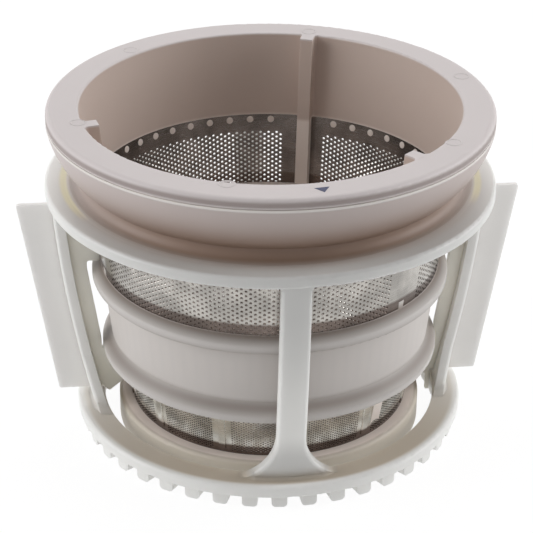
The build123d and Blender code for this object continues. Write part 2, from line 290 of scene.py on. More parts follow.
def pierced_tile(column, settings, radius, corner_steps):
    """One cell with its hole, made flat: x is the angle, y the height and z the depth."""
    half_x = column / 2
    half_y = settings.pitch / 2
    rim = [
        (half_x, 0), (half_x, half_y), (-half_x, half_y),
        (-half_x, 0), (-half_x, -half_y), (half_x, -half_y),
    ]
    count = len(rim) * corner_steps
    turns = full_circle(count)
    reach = settings.hole / 2
    hole = [(reach / radius * math.cos(turn), reach * math.sin(turn)) for turn in turns]
    bm = bmesh.new()
    loops = []
    for depth in (0.0, -settings.thickness):
        outer = [bm.verts.new((x, y, depth)) for x, y in rim]
        inner = [bm.verts.new((x, y, depth)) for x, y in hole]
        loops.append(inner)
        for i, corner in enumerate(outer):
            arc = [inner[(i * corner_steps + step) % count] for step in range(corner_steps + 1)]
            bm.faces.new([corner, outer[(i + 1) % len(outer)], *reversed(arc)])
    bridge(bm, *loops)
    return object_from("tile", bm)


def column_outline(left, right, lefts, rights):
    """Corners of a plain face between two edges, each with its own heights."""
    return [(left, y) for y in lefts] + [(right, y) for y in reversed(rights)]


def plain_outlines(column, settings, field_foot, foot, top):
    """Plain faces of one sector: the borders of the pierced columns and the plain strips."""
    half = settings.pitch / 2
    steps = 2 * settings.rows + 1
    levels = [field_foot + i * half for i in range(steps + 1)]
    start = -column * settings.pierced / 2
    outlines = []
    for i in range(settings.pierced):
        left = start + i * column
        raised = i % 2
        below = [foot, levels[0]] + levels[1:2] * raised
        above = levels[-2:-1] * (1 - raised) + [levels[-1], top]
        outlines.append(column_outline(left, left + column, below, below))
        outlines.append(column_outline(left, left + column, above, above))
    full = [foot, *levels, top]
    bare = [foot, top]
    start += settings.pierced * column
    for i in range(settings.plain):
        left = start + i * column
        lefts = full if i == 0 else bare
        rights = full if i == settings.plain - 1 else bare
        outlines.append(column_outline(left, left + column, lefts, rights))
    return outlines


def plain_sheet(outlines, thickness, foot, top):
    """Front and back of the plain faces, closed along the foot and the top edge."""
    bm = bmesh.new()
    for outline in outlines:
        front = [bm.verts.new((x, y, 0)) for x, y in outline]
        back = [bm.verts.new((x, y, -thickness)) for x, y in outline]
        bm.faces.new(front)
        bm.faces.new(list(reversed(back)))
        for i, (x, y) in enumerate(outline):
            j = (i + 1) % len(outline)
            if outline[j][1] == y and y in (foot, top):
                bm.faces.new([front[i], front[j], back[j], back[i]])
    return object_from("plain_sheet", bm)


WRAP_INPUTS = (
    ("Geometry", "NodeSocketGeometry"),
    ("Plain Sheet", "NodeSocketObject"),
    ("Columns", "NodeSocketInt"),
    ("Rows", "NodeSocketInt"),
    ("Column Angle", "NodeSocketFloat"),
    ("Row Pitch", "NodeSocketFloat"),
    ("First Column", "NodeSocketFloat"),
    ("First Row", "NodeSocketFloat"),
    ("Sectors", "NodeSocketInt"),
    ("Sector Angle", "NodeSocketFloat"),
    ("Radius at Zero", "NodeSocketFloat"),
    ("Taper", "NodeSocketFloat"),
    ("Material", "NodeSocketMaterial"),
)


def wrap_tree():
    """Geometry Nodes tree that repeats a flat tile in staggered columns and wraps it on a cone."""
    tree = bpy.data.node_groups.new("Wrapped tiles", "GeometryNodeTree")
    for name, kind in WRAP_INPUTS:
        tree.interface.new_socket(name=name, in_out="INPUT", socket_type=kind)
    tree.interface.new_socket(name="Geometry", in_out="OUTPUT", socket_type="NodeSocketGeometry")
    build = NodeBuilder(tree)
    given = build.add("NodeGroupInput").outputs

    width = build.math("MULTIPLY", build.math("SUBTRACT", given["Columns"], 1.0), given["Column Angle"])
    tall = build.math("MULTIPLY", build.math("SUBTRACT", given["Rows"], 1.0), given["Row Pitch"])
    grid = build.out(
        "GeometryNodeMeshGrid",
        {"Size X": width, "Size Y": tall, "Vertices X": given["Columns"], "Vertices Y": given["Rows"]},
    )
    place = build.add("ShaderNodeSeparateXYZ", {"Vector": build.out("GeometryNodeInputPosition")}).outputs
    half_width = build.math("MULTIPLY", width, 0.5)
    from_left = build.math("DIVIDE", build.math("ADD", place["X"], half_width), given["Column Angle"])
    is_odd = build.math("MODULO", build.math("ROUND", from_left), 2.0)
    stagger = build.math("MULTIPLY", is_odd, build.math("MULTIPLY", given["Row Pitch"], 0.5))
    shift_x = build.math("ADD", given["First Column"], half_width)
    shift_y = build.math("ADD", build.math("MULTIPLY_ADD", tall, 0.5, given["First Row"]), stagger)
    shift = build.out("ShaderNodeCombineXYZ", {"X": shift_x, "Y": shift_y})
    points = build.out("GeometryNodeSetPosition", {"Geometry": grid, "Offset": shift})
    tiles = build.out("GeometryNodeInstanceOnPoints", {"Points": points, "Instance": given["Geometry"]})
    plain = build.add("GeometryNodeObjectInfo", {"Object": given["Plain Sheet"]})
    sector = build.add("GeometryNodeJoinGeometry", {0: tiles})
    tree.links.new(plain.outputs["Geometry"], sector.inputs[0])

    stride = build.out("ShaderNodeCombineXYZ", {"X": given["Sector Angle"]})
    line = build.out("GeometryNodeMeshLine", {"Count": given["Sectors"], "Offset": stride})
    all_round = build.out("GeometryNodeInstanceOnPoints", {"Points": line, "Instance": sector.outputs[0]})
    real = build.out("GeometryNodeRealizeInstances", {0: all_round})

    wall = build.math("MULTIPLY_ADD", place["Y"], given["Taper"], given["Radius at Zero"])
    radius = build.math("ADD", wall, place["Z"])
    sideways = build.math("MULTIPLY", radius, build.math("SINE", place["X"]))
    ahead = build.math("MULTIPLY", radius, build.math("COSINE", place["X"]))
    back = build.math("MULTIPLY", ahead, -1.0)
    bent_place = build.out("ShaderNodeCombineXYZ", {"X": sideways, "Y": back, "Z": place["Y"]})
    bent = build.out("GeometryNodeSetPosition", {"Geometry": real, "Position": bent_place})
    welded = build.out("GeometryNodeMergeByDistance", {"Geometry": bent, "Distance": WELD_DISTANCE})
    finished = build.out("GeometryNodeSetMaterial", {"Geometry": welded, "Material": given["Material"]})
    tree.links.new(finished, build.add("NodeGroupOutput").inputs[0])
    return tree


def wrapped(tile, values):
    """Runs the wrapping tree on a tile and gives the result as a plain mesh."""
    tree = bpy.data.node_groups.get("Wrapped tiles") or wrap_tree()
    modifier = tile.modifiers.new("Wrap", "NODES")
    modifier.node_group = tree
    for item in tree.interface.items_tree:
        if item.in_out == "INPUT" and item.name in values:
            modifier[item.identifier] = values[item.name]
    bpy.context.view_layer.update()
    evaluated = tile.evaluated_get(bpy.context.evaluated_depsgraph_get())
    mesh = bpy.data.meshes.new_from_object(evaluated)
    tile.modifiers.remove(modifier)
    return mesh


def discard(*objects):
    """Removes helper objects with their meshes."""
    for item in objects:
        mesh = item.data
        bpy.data.objects.remove(item)
        bpy.data.meshes.remove(mesh)


def perforated_sleeve(node, settings, first_strip, corner_steps):
    """Steel sleeve of a CAD node's size, pierced with round holes between plain strips."""
    low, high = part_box(node)
    columns = settings.pierced + settings.plain
    column = FULL_TURN / (settings.sectors * columns)
    foot, top = low.z, high.z
    at_zero = high.x - settings.taper * top
    middle_radius = at_zero + settings.taper * (foot + top) / 2
    field_foot = foot + settings.field_foot
    tile = pierced_tile(column, settings, middle_radius, corner_steps)
    outlines = plain_outlines(column, settings, field_foot, foot, top)
    plain = plain_sheet(outlines, settings.thickness, foot, top)
    # A sector starts with its pierced field, half a sector on from a plain strip.
    sector_angle = FULL_TURN / settings.sectors
    turn = first_strip + sector_angle / 2
    mesh = wrapped(tile, {
        "Plain Sheet": plain,
        "Columns": settings.pierced,
        "Rows": settings.rows,
        "Column Angle": column,
        "Row Pitch": settings.pitch,
        "First Column": -column * (settings.pierced - 1) / 2,
        "First Row": field_foot + settings.pitch / 2,
        "Sectors": settings.sectors,
        "Sector Angle": sector_angle,
        "Radius at Zero": at_zero,
        "Taper": settings.taper,
        "Material": finish("screen_steel"),
    })
    discard(tile, plain)
    mesh.transform(Matrix.Rotation(turn, 4, "Z"))
    bm = bmesh.new()
    bm.from_mesh(mesh)
    bpy.data.meshes.remove(mesh)
    return bm


def strip_tile(width, foot, top, inner, outer):
    """An upright strip with chamfered sides, made flat. Its width is an angle."""
    half = width / 2
    edge = half - width * CHAMFER_SHARE
    profile = ((-half, inner), (half, inner), (edge, outer), (-edge, outer))
    bm = bmesh.new()
    ends = [[bm.verts.new((x, y, depth)) for x, depth in profile] for y in (foot, top)]
    bridge(bm, *ends)
    bm.faces.new(ends[0])
    bm.faces.new(list(reversed(ends[1])))
    return object_from("strip", bm)


def add_row(bm, node, settings, tile, first, count, step, height=0.0):
    """Adds a row of tiles wrapped on a sleeve."""
    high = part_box(node)[1]
    mesh = wrapped(tile, {
        "Columns": count,
        "Rows": 1,
        "Column Angle": step,
        "First Column": first,
        "First Row": height,
        "Sectors": 1,
        "Radius at Zero": high.x - settings.taper * high.z,
        "Taper": settings.taper,
    })
    bm.from_mesh(mesh)
    bpy.data.meshes.remove(mesh)
    discard(tile)


def strip_row(node, settings, tile, first, count):
    """Equal strips all round a sleeve."""
    bm = bmesh.new()
    add_row(bm, node, settings, tile, first, count, FULL_TURN / count)
    return bm


# Finishes, with light and shade painted into their colours

# Taper of each wall and its radius at no height.
STRAINER_WALL = (0.117, 0.0353)
POST_WALL = (0.146, 0.0415)
UPPER_STEEL = (0.117, 0.03513)
LOWER_STEEL = (0.13, 0.03262)
# Distances past a wall between which the inside's colour passes into the outside's.
PLASTIC_PASS = (-0.0004, 0.0004)
BLADE_PASS = (0.0, 0.0015)
STEEL_PASS = (-0.0001, 0.0001)

# A run is a measure of the surface, the values at which a layer starts and is full, and the layer's
# least share where that isn't nought. A layer is a colour or a blend, its share and its runs.
# Layers weighted to the front are painted shade, heaviest on the side that faces the front.
FRONT = ("backwards", 0.2, -0.95)
UPPER = ("height", 0.028, 0.032)
FOOT_PASS = ("radius", 0.0351, 0.0375)
# All but the band are painted light or shade: shade on the collar, rim side, hub, hollows and flanges, light
# on the lip and the bottom ring.
SHELL_LAYERS = (
    ("band", 1.0, ("height", 0.05, 0.045)),
    (
        "collar_foot", 1.0, (*FRONT, 0.4),
        ("height", 0.0797, 0.0645, 0.33), ("height", 0.0784, 0.0779), ("height", 0.05, 0.055),
    ),
    ("rim_side", 0.8, ("height", 0.0809, 0.0801), ("height", 0.079, 0.0796)),
    ("lip", 1.0, ("height", 0.0781, 0.0784), ("height", 0.0789, 0.0787)),
    ("round_hub", 1.0, ("radius", 0.0457, 0.0475), ("height", 0.0665, 0.0645)),
    ("foot", 1.0, ("height", 0.0085, 0.0075)),
    ("flange", 0.75, ("height", 0.0203, 0.0226), ("height", 0.0249, 0.0226)),
    ("flange", 0.5, ("height", 0.0365, 0.03825), ("height", 0.04, 0.03825)),
    ("flange", 1.0, ("height", 0.0403, 0.0422), ("height", 0.0441, 0.0422)),
)
# Painted shade down the bore, with painted light low in it beside the steel.
BORE_LAYERS = (
    ("strainer_inside", 1.0, ("height", 0.0813, 0.0807)),
    ("strainer_deep", 1.0, ("height", 0.0612, 0.06)),
)
# All painted: shade on the ring's flat, on the front post high and at its foot, and round the hub; light
# shining through the hub's sides.
CAGE_LAYERS = (
    (
        "cage_flat", 1.0, (*FRONT, 0.25),
        ("height", 0.0095, 0.0062), ("height", 0.0048, 0.0056), ("radius", 0.0462, 0.0448),
    ),
    ("cage_shade", 0.6, FRONT, ("height", 0.02, 0.056)),
    (
        "cage_shade", 0.5, FRONT,
        ("height", 0.02, 0.012), ("height", 0.0062, 0.0075), ("radius", 0.0475, 0.0462),
    ),
    ("round_hub", 1.0, ("radius", 0.0505, 0.0455), ("height", 0.062, 0.0628)),
    (
        "hub_glow", 1.0, ("sideways", 0.89, 0.97),
        ("radius", 0.0474, 0.0481), ("radius", 0.0498, 0.0489), ("height", 0.0622, 0.063),
    ),
)
# Painted shade and dark reflection at each sleeve's foot; the upper blend carries painted shade inside the
# upper sleeve.
STEEL_LAYERS = (
    ("upper", 1.0, UPPER),
    ("steel_foot", 1.0, ("height", 0.0092, 0.0084)),
    ("steel_foot", 1.0, UPPER, ("height", 0.0455, 0.0446)),
)

# Scale and detail of each noise.
DRIFT = (26.0, 3.0)
CLOUD = (110.0, 4.0)
GRAIN = (2600.0, 2.0)
STREAK = (320.0, 4.0)
STAIN = (150.0, 3.0)
# What they do to the shade, roughness and relief of the plastic, and then of the steel.
DRIFT_SHADE = (0.955, 1.03)
SATIN_SPREAD = (-0.05, 0.06)
GRAIN_STRENGTH = 0.12
STREAK_STRETCH = (1.0, 1.0, 22.0)
STAIN_SHARE = 0.85
STAIN_SPAN = (0.38, 0.6)
STEEL_SHADE = (0.72, 1.12)
STEEL_ROUGHNESS = (0.16, 0.34)
STREAK_RELIEF = 0.03
DENT_DEPTH = 0.00012
DENT_STRENGTH = 0.35


def start_material(name):
    """A material with its builder, its shader and the object's own coordinates."""
    material = bpy.data.materials.new(name)
    material.use_nodes = True
    build = NodeBuilder(material.node_tree)
    place = build.add("ShaderNodeTexCoord").outputs["Object"]
    return material, build, material.node_tree.nodes["Principled BSDF"], place


def measures_of(build, place):
    """Height and radius of a point, and its shares of the radius backwards and sideways."""
    parts = build.add("ShaderNodeSeparateXYZ", {"Vector": place}).outputs
    squares = build.math("ADD", build.math("POWER", parts["X"], 2.0), build.math("POWER", parts["Y"], 2.0))
    radius = build.math("SQRT", squares)
    return {
        "height": parts["Z"],
        "radius": radius,
        "backwards": build.math("DIVIDE", parts["Y"], radius),
        "sideways": build.math("DIVIDE", build.math("ABSOLUTE", parts["X"]), radius),
    }


def ranged(build, value, low, high, start=0.0, end=1.0, curve="LINEAR"):
    """Runs from low to high while the value runs from the start to the end."""
    spans = {"Value": value, "From Min": start, "From Max": end, "To Min": low, "To Max": high}
    return build.out("ShaderNodeMapRange", spans, interpolation_type=curve)


def ease(build, value, start, end):
    """Rises softly from nought to one while the value runs from the start to the end."""
    return ranged(build, value, 0.0, 1.0, start, end, "SMOOTHSTEP")


def noise(build, place, scale, detail):
    """Noise in the object's own coordinates."""
    return build.out("ShaderNodeTexNoise", {"Vector": place, "Scale": scale, "Detail": detail})


def white_share(build):
    """One where the camera, a reflection or clear plastic shows the surroundings, nought for their light."""
    rays = build.add("ShaderNodeLightPath").outputs
    share = build.math("MAXIMUM", rays["Is Camera Ray"], rays["Is Glossy Ray"])
    return build.math("MAXIMUM", share, rays["Is Transmission Ray"])


def mixed(build, share, first, second):
    """Blends two colours or colour sockets."""
    node = build.add("ShaderNodeMix", {0: share}, data_type="RGBA")
    for socket, value in ((node.inputs[6], first), (node.inputs[7], second)):
        if isinstance(value, bpy.types.NodeSocket):
            build.tree.links.new(value, socket)
        else:
            socket.default_value = (*value, 1)
    return node.outputs[2]


def zone(build, measures, share, *runs):
    """Share of a layer at a point: the product of its soft runs."""
    for measure, start, end, *least in runs:
        run = ease(build, measures[measure], start, end)
        if least:
            run = build.math("MULTIPLY_ADD", run, 1 - least[0], least[0])
        share = build.math("MULTIPLY", run, share)
    return share


def layered(build, measures, colours, base, layers, **blends):
    """Lays colours and blends over a base, each in its own zone."""
    for name, share, *runs in layers:
        tone = blends[name] if name in blends else getattr(colours, name)
        base = mixed(build, zone(build, measures, share, *runs), base, tone)
    return base


def outside_share(build, measures, wall, span):
    """Nought inside a tapered wall and one outside it."""
    face = build.math("MULTIPLY_ADD", measures["height"], *wall)
    return ease(build, build.math("SUBTRACT", measures["radius"], face), *span)


def round_hub(build, measures, colours):
    """Painted shade round the hub: lighter at its sides, browner and darker at the front."""
    return mixed(build, zone(build, measures, 1.0, FRONT), colours.painted_hub_side, colours.hub)


def strainer_tint(build, place, colours):
    """Pale outside, with painted shade on the collar's foot, the rim's side, the hub, the hollows and the
    bore, and painted light on the lip, the bottom ring and low in the bore.
    """
    measures = measures_of(build, place)
    hub = round_hub(build, measures, colours)
    foot = mixed(build, zone(build, measures, 1.0, FOOT_PASS), colours.painted_foot_shade, colours.painted_foot_light)
    shell = layered(build, measures, colours, colours.strainer, SHELL_LAYERS, round_hub=hub, foot=foot)
    bore = layered(build, measures, colours, colours.strainer, BORE_LAYERS)
    return mixed(build, outside_share(build, measures, STRAINER_WALL, PLASTIC_PASS), bore, shell)


def cage_tint(build, place, colours):
    """White, with painted shade on the flat of the bottom ring, on the front post and round the hub, and
    painted light where light shines through the hub's sides.
    """
    measures = measures_of(build, place)
    hub = round_hub(build, measures, colours)
    return layered(build, measures, colours, colours.cage, CAGE_LAYERS, round_hub=hub)


def blade_tint(build, place, colours):
    """Pale outside the posts and, inside them, a yellower painted glow of light through the silicone."""
    outside = outside_share(build, measures_of(build, place), POST_WALL, BLADE_PASS)
    return mixed(build, outside, colours.painted_blade_glow, colours.blade)


def ink_tint(build, place, colours):
    """The same all over."""
    return mixed(build, 0.0, colours.ink, colours.ink)


def give_surface(build, shader, tint, shade, roughness, relief, depth, strength):
    """Gives a shader its shaded tint, its roughness and its relief."""
    toned = build.out("ShaderNodeVectorMath", {0: tint, "Scale": shade}, operation="SCALE")
    bump = build.out("ShaderNodeBump", {"Strength": strength, "Distance": depth, "Height": relief})
    for socket, value in (("Base Color", toned), ("Roughness", roughness), ("Normal", bump)):
        build.tree.links.new(value, shader.inputs[socket])


# Tint, roughness, depth of the grain, and the share and depth of the light that shines through.
PLASTICS = {
    "strainer_plastic": (strainer_tint, 0.5, 0.00002, 0.2, 0.002),
    "cage_plastic": (cage_tint, 0.42, 0.00002, 0.5, 0.003),
    "blade_silicone": (blade_tint, 0.55, 0.00003, 0.8, 0.006),
    "marker_ink": (ink_tint, 0.5, 0.00001, 0.0, 0.001),
}


def plastic(name, colours, tint_of, roughness, grain_depth, glow_share, glow_depth):
    """Satin moulded surface with a faint drift of colour, soft stains and a fine grain."""
    material, build, shader, place = start_material(name)
    tint = tint_of(build, place, colours)
    shade = ranged(build, noise(build, place, *DRIFT), *DRIFT_SHADE)
    satin = ranged(build, noise(build, place, *CLOUD), *(roughness + spread for spread in SATIN_SPREAD))
    grain = noise(build, place, *GRAIN)
    give_surface(build, shader, tint, shade, satin, grain, grain_depth, GRAIN_STRENGTH)
    shader.inputs["Subsurface Radius"].default_value = (1.0, 1.0, 1.0)
    shader.inputs["Subsurface Weight"].default_value = glow_share
    shader.inputs["Subsurface Scale"].default_value = glow_depth
    return material


def brushed_steel(name, colours):
    """Rolled stainless sheet with fine streaks, soft dents and stains, painted shade and dark reflection
    inside and at both feet, and painted light on the lower sleeve's outside.
    """
    material, build, shader, place = start_material(name)
    shader.inputs["Metallic"].default_value = 1.0
    measures = measures_of(build, place)
    outside = outside_share(build, measures, UPPER_STEEL, STEEL_PASS)
    upper = mixed(build, outside, colours.painted_steel_shade, colours.steel)
    outside = outside_share(build, measures, LOWER_STEEL, STEEL_PASS)
    lower = mixed(build, outside, colours.steel_foot, colours.painted_lower_steel_light)
    tint = layered(build, measures, colours, lower, STEEL_LAYERS, upper=upper)
    stretched = build.out("ShaderNodeMapping", {"Vector": place, "Scale": STREAK_STRETCH})
    streak = noise(build, stretched, *STREAK)
    stain = noise(build, place, *STAIN)
    blend = build.math("MULTIPLY_ADD", stain, STAIN_SHARE, build.math("MULTIPLY", streak, 1 - STAIN_SHARE))
    shade = ranged(build, blend, *STEEL_SHADE, *STAIN_SPAN)
    sheen = ranged(build, streak, *STEEL_ROUGHNESS)
    relief = build.math("MULTIPLY_ADD", streak, STREAK_RELIEF, stain)
    give_surface(build, shader, tint, shade, sheen, relief, DENT_DEPTH, DENT_STRENGTH)
    return material


def finish(name):
    """One of the finishes, made when it is first asked for and kept by its title."""
    title = name.replace("_", " ").capitalize()
    known = bpy.data.materials.get(title)
    if known:
        return known
    colours = bpy.context.scene.juicer_finish
    if name == "screen_steel":
        return brushed_steel(title, colours)
    return plastic(title, colours, *PLASTICS[name])


def dress(node, name):
    """Gives a CAD node its finish."""
    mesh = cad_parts[node].data
    mesh.materials.clear()
    mesh.materials.append(finish(name))


def add_piece(name, bm, body, slot, material=None, smooth_to=None):
    """Makes a piece with its faces outwards that rides on a body and has its slot's finish or a given one."""
    bmesh.ops.recalc_face_normals(bm, faces=bm.faces)
    piece = object_from(name, bm)
    piece.data.materials.append(material or finish(slot))
    if smooth_to:
        smooth_flats(piece.data, smooth_to)
    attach(piece, body)
    return piece


# Operators


class JUICER_OT_camera(bpy.types.Operator):
    """Set the camera at the photograph's viewing angle"""

    bl_idname = "juicer.camera"
    bl_label = "Set the camera"

    # The camera's place and aim, about the point on the axis at the rim's top.
    away = 0.42697
    above_rim = 0.18047
    pitch = math.radians(27.615)
    yaw = math.radians(-0.098)
    roll = math.radians(0.412)
    turn = math.radians(-6.7)
    focal_pixels = 2000.0
    frame_pixels = 533.0
    sensor = 36.0

    def execute(self, context):
        rim_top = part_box("strainer_frame")[1].z
        level = math.cos(self.pitch)
        ahead = Vector((math.sin(self.yaw) * level, math.cos(self.yaw) * level, -math.sin(self.pitch)))
        right = ahead.cross(Vector((0, 0, 1))).normalized()
        up = right.cross(ahead)
        # A positive roll lifts the frame's right-hand side.
        rolled_right = math.cos(self.roll) * right + math.sin(self.roll) * up
        rolled_up = math.cos(self.roll) * up - math.sin(self.roll) * right
        pose = Matrix((rolled_right, rolled_up, -ahead)).transposed().to_4x4()
        pose.translation = Vector((0, -self.away, rim_top + self.above_rim))
        data = bpy.data.cameras.new("camera")
        data.sensor_width = self.sensor
        data.lens = self.sensor * self.focal_pixels / self.frame_pixels
        data.clip_start = 0.01
        data.clip_end = 20.0
        camera = bpy.data.objects.new("camera", data)
        context.scene.collection.objects.link(camera)
        camera.matrix_world = Matrix.Rotation(self.turn, 4, "Z") @ pose
        context.scene.camera = camera
        return {"FINISHED"}


class JUICER_OT_mouldings(bpy.types.Operator):
    """Finish the moulded strainer, the cage and the blades, with light and shade painted into their colours
    """

    bl_idname = "juicer.mouldings"
    bl_label = "Finish the mouldings"

    def execute(self, context):
        dress("strainer_frame", "strainer_plastic")
        dress("wiper_cage", "cage_plastic")
        for blade in ("wiper_blade_left", "wiper_blade_right"):
            dress(blade, "blade_silicone")
        return {"FINISHED"}


class JUICER_OT_upper_screen(bpy.types.Operator):
    """Make the coarse steel sleeve with its seam"""

    bl_idname = "juicer.upper_screen"
    bl_label = "Make the upper screen"

    def execute(self, context):
        settings = context.scene.juicer_upper
        bm = perforated_sleeve("upper_screen", settings, RIB_ANGLES[0] + settings.strip_lag, corner_steps=2)
        sleeve = add_piece("upper_screen_sheet", bm, "strainer", "screen_steel", smooth_to=FOLD_LIMIT)
        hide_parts("upper_screen")
        low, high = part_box("upper_screen")
        inner = -settings.thickness - settings.seam_rise
        width = settings.seam / high.x
        foot, top = low.z + settings.seam_foot, high.z - settings.seam_drop
        tile = strip_tile(width, foot, top, -settings.thickness / 2, inner)
        bm = strip_row("upper_screen", settings, tile, settings.seam_angle, 1)
        add_piece("upper_screen_seam", bm, "strainer", "screen_steel")
        return {"FINISHED"}


class JUICER_OT_lower_screen(bpy.types.Operator):
    """Make the fine steel sleeve with the beads on its plain strips"""

    bl_idname = "juicer.lower_screen"
    bl_label = "Make the lower screen"

    def execute(self, context):
        settings = context.scene.juicer_lower
        bm = perforated_sleeve("lower_screen", settings, settings.strip_angle, corner_steps=1)
        sleeve = add_piece("lower_screen_sheet", bm, "strainer", "screen_steel", smooth_to=FOLD_LIMIT)
        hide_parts("lower_screen")
        low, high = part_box("lower_screen")
        width = settings.bead_width / high.x
        foot, top = low.z + settings.bead_foot, high.z - settings.bead_foot
        tile = strip_tile(width, foot, top, -settings.thickness / 2, settings.bead_rise)
        bm = strip_row("lower_screen", settings, tile, settings.strip_angle, settings.sectors)
        add_piece("lower_screen_beads", bm, "strainer", "screen_steel")
        return {"FINISHED"}


class JUICER_OT_post_fillets(bpy.types.Operator):
    """Make the hollow rounds that run the posts' feet out into the cage's bottom ring"""

    bl_idname = "juicer.post_fillets"
    bl_label = "Make the posts' fillets"

    # The post in the CAD part: its faces' radii on the ring, the stem's half width, the flare and the lean.
    face_radius = 0.04332
    back_radius = 0.0408
    ring_top = 0.00619
    stem_half = 0.00335
    flare_radius = 0.014
    flare_height = 0.0122
    lean = 0.21
    posts = 4
    # The round: its depth in the ring, its stations across a post, the hollow's share of its height,
    # the curve in which it runs out along the toe, and its least height.
    bury = 0.0004
    stations = 36
    hollow_share = 0.75
    run_out = 1.75
    least_crest = 0.00002

    def half_width(self, height):
        """Half of the post's width at a height above the ring."""
        rise = (self.flare_height - height) / self.flare_radius
        return self.stem_half + self.flare_radius * (1 - math.sqrt(1 - rise * rise))

    def crest(self, settings, across):
        """Height of the round: even across the post, then running out along the toe."""
        full = settings.fillet / self.hollow_share
        start = self.half_width(full)
        left = (settings.toe_reach - abs(across)) / (settings.toe_reach - start)
        return max(self.least_crest, full * min(1.0, max(0.0, left)) ** self.run_out)

    def section(self, settings, height):
        """Closed section of the round, as distances outwards from the post's face and heights."""
        hollow = height * self.hollow_share
        crown = height - hollow
        depth = self.back_radius - self.face_radius
        turns = quarter_turn(settings.fillet_steps)
        points = [(hollow * (1 - math.sin(turn)), hollow * (1 - math.cos(turn))) for turn in turns]
        points += [(crown * (math.cos(turn) - 1), hollow + crown * math.sin(turn)) for turn in turns[1:]]
        points += [(depth + crown * (1 - math.sin(turn)), hollow + crown * math.cos(turn)) for turn in turns]
        return [*points, (depth, -self.bury), (hollow, -self.bury)]

    def execute(self, context):
        settings = context.scene.juicer_moulding
        reach = settings.toe_reach
        bm = bmesh.new()
        for post in range(self.posts):
            place = Matrix.Rotation(FULL_TURN * post / self.posts, 3, "Z")
            loops = []
            for i in range(self.stations + 1):
                across = reach * (2 * i / self.stations - 1)
                loop = []
                for outwards, height in self.section(settings, self.crest(settings, across)):
                    radius = self.face_radius + outwards + self.lean * max(0.0, height)
                    ahead = math.sqrt(radius * radius - across * across)
                    loop.append(bm.verts.new(place @ Vector((across, -ahead, self.ring_top + height))))
                loops.append(loop)
            for first, second in zip(loops, loops[1:]):
                bridge(bm, first, second)
            bm.faces.new(loops[0])
            bm.faces.new(list(reversed(loops[-1])))
        add_piece("post_fillets", bm, "cage", "cage_plastic", smooth_to=ROUND_LIMIT)
        return {"FINISHED"}


class JUICER_OT_collar_fillet(bpy.types.Operator):
    """Make the hollow round that runs the collar's foot out over the cage's hub"""

    bl_idname = "juicer.collar_fillet"
    bl_label = "Make the collar's fillet"

    # The CAD part's collar, and the hub's sloping top with a clearance over it.
    collar_radius = 0.0448
    inner_radius = 0.0446
    outer_height = 0.0635
    under_hub = ((0.04725, 0.06348), (0.04617, 0.06363), (0.04505, 0.0642), (inner_radius, 0.0642))
    sides = 160

    def execute(self, context):
        settings = context.scene.juicer_moulding
        reach = settings.collar_fillet
        radius, height = self.collar_radius + reach, self.outer_height + reach
        turns = quarter_turn(settings.fillet_steps)
        section = [(radius - reach * math.cos(turn), height - reach * math.sin(turn)) for turn in turns]
        bm = bmesh.new()
        add_ring(bm, [*section, *self.under_hub, (self.inner_radius, height)], self.sides)
        add_piece("collar_fillet", bm, "strainer", "strainer_plastic", smooth_to=FOLD_LIMIT)
        return {"FINISHED"}


class JUICER_OT_anchor_dots(bpy.types.Operator):
    """Make the dots and pegs of plastic that hold the upper sleeve's borders"""

    bl_idname = "juicer.anchor_dots"
    bl_label = "Make the anchor dots"

    # Angle from each rib to the first dot that follows it, and the crown's share of a dot's width.
    first_steps = (math.radians(16.0), math.radians(12.2), math.radians(13.8))
    crown_share = 0.75
    sides = 14
    # The band's top in the CAD part, and the depth of a peg in it.
    band_top = 0.0423
    peg_root = 0.0004

    def execute(self, context):
        upper, _, moulding, _ = settings_of(context)
        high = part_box("upper_screen")[1]
        inner = high.x - upper.taper * moulding.dot_drop - upper.thickness
        height = high.z - moulding.dot_drop
        bm = bmesh.new()
        for rib, first in zip(RIB_ANGLES, self.first_steps):
            tile = self.dot(moulding, inner, upper.thickness)
            count, step = moulding.dots, moulding.dot_step
            add_row(bm, "upper_screen", upper, tile, rib + first, count, step, height)
        add_piece("anchor_dots", bm, "strainer", "strainer_plastic", smooth_to=ROUND_LIMIT)

        foot, top = self.band_top - self.peg_root, self.band_top + moulding.peg_height
        tile = strip_tile(moulding.peg_width / high.x, foot, top, -upper.thickness / 2, moulding.dot_rise)
        bm = strip_row("upper_screen", upper, tile, RIB_ANGLES[0], len(RIB_ANGLES))
        add_piece("anchor_pegs", bm, "strainer", "strainer_plastic")
        return {"FINISHED"}

    def dot(self, moulding, radius, thickness):
        """A low disc on the steel's inner side, made flat."""
        crown = -thickness - moulding.dot_rise
        edge = -thickness - moulding.dot_rise / 2
        turns = full_circle(self.sides)
        bm = bmesh.new()
        loops = []
        for share, depth in ((1.0, -thickness / 2), (1.0, edge), (self.crown_share, crown)):
            reach = share * moulding.dot / 2
            points = [(reach / radius * math.cos(turn), reach * math.sin(turn)) for turn in turns]
            loops.append([bm.verts.new((x, y, depth)) for x, y in points])
        for first, second in zip(loops, loops[1:]):
            bridge(bm, first, second)
        bm.faces.new(loops[-1])
        bm.faces.new(list(reversed(loops[0])))
        return object_from("dot", bm)


